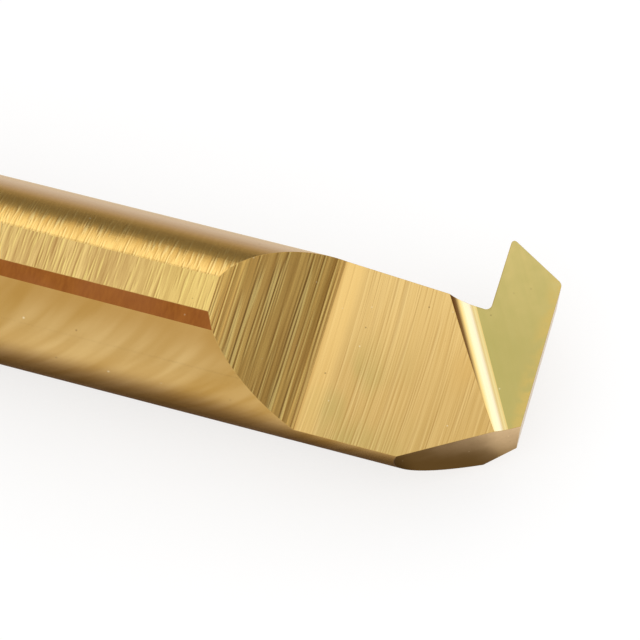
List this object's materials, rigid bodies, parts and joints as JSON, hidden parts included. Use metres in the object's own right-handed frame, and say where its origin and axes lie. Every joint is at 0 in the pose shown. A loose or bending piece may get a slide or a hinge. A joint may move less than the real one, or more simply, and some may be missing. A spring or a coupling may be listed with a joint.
{
  "type": "boring bar",
  "caption": "Solid round boring bar with a ramp down to a flat ground head and a sharp tip that reaches out to one side.",
  "frame": {"origin": "on the bar's axis, where the shank ends and the thinner neck begins", "axes": "+X along the bar's axis towards the tip, +Y towards the side that the tip reaches out to, +Z square to the flat of the head"},
  "size_m": [0.05, 0.0079, 0.0057],
  "materials": {
    "carbide": "ground, with a gold titanium-nitride coating"
  },
  "bodies": {
    "root": {"boring_bar": "carbide"}
  },
  "joints": []
}
